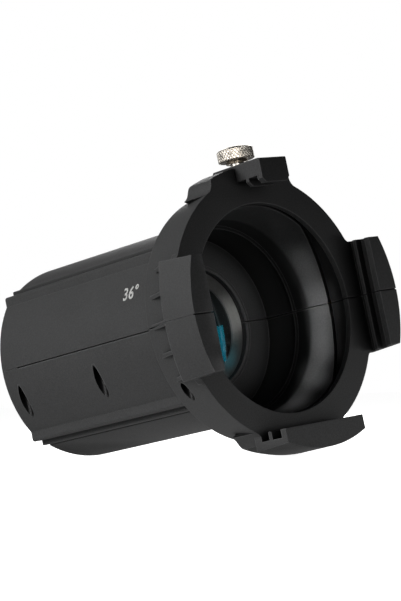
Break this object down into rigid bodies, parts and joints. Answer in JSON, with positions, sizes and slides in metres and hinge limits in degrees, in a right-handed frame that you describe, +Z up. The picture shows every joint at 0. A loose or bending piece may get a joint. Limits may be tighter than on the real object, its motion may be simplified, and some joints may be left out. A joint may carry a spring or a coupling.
{
  "type": "ellipsoidal spotlight lens tube",
  "caption": "Moulded lens tube with a flanged hood, accessory brackets, a lift-off retainer clip and a knurled thumbscrew, holding projection lenses.",
  "frame": {"origin": "centre of the front aperture, on the front face of the flange", "axes": "-Y out of the front aperture along the light beam, +Y back along the tube, +Z up through the thumbscrew, +X to the right of a viewer facing the front"},
  "size_m": [0.1834, 0.211, 0.1962],
  "materials": {
    "shell": "charcoal mineral-filled plastic, fine moulded texture",
    "clip": "black moulded plastic, fine texture",
    "lens": "clear glass with a teal anti-reflection coating",
    "gasket": "black silicone",
    "screw": "zinc-plated steel",
    "insert": "plain machined brass",
    "knob": "nickel-plated brass, diamond knurled"
  },
  "bodies": {
    "barrel": {"upper_shell": "shell", "lower_shell": "shell", "front_lens": "lens", "rear_lens": "lens", "front_lens_front_gasket": "gasket", "front_lens_rear_gasket": "gasket", "rear_lens_front_gasket": "gasket", "rear_lens_rear_gasket": "gasket", "rear_shell_screws": "screw", "middle_shell_screws": "screw", "flange_shell_screws": "screw", "rear_shell_inserts": "insert", "middle_shell_inserts": "insert", "flange_shell_inserts": "insert", "thumbscrew_insert": "insert"},
    "retainer": {"retainer_clip": "clip"},
    "washer": {"thumbscrew_washer": "screw"},
    "thumbscrew": {"thumbscrew_knob": "knob", "thumbscrew_stud": "screw", "thumbscrew_retaining_ring": "screw"}
  },
  "joints": [
    {"name": "retainer_lift", "type": "slide", "parent": "barrel", "child": "retainer", "axis": [0, 0, 1], "range_m": [0, 0.03]},
    {"name": "thumbscrew_rise", "type": "slide", "parent": "retainer", "child": "washer", "axis": [0, 0, 1], "range_m": [0, 0.0057]},
    {"name": "thumbscrew_turn", "type": "hinge", "parent": "washer", "child": "thumbscrew", "pos_m": [0, 0.0083, 0.098], "axis": [0, 0, 1], "range_deg": [0, 2520]}
  ],
  "couplings": [
    {"joint": "thumbscrew_rise", "follows": "thumbscrew_turn", "m_per_rad": 0.00012732}
  ]
}
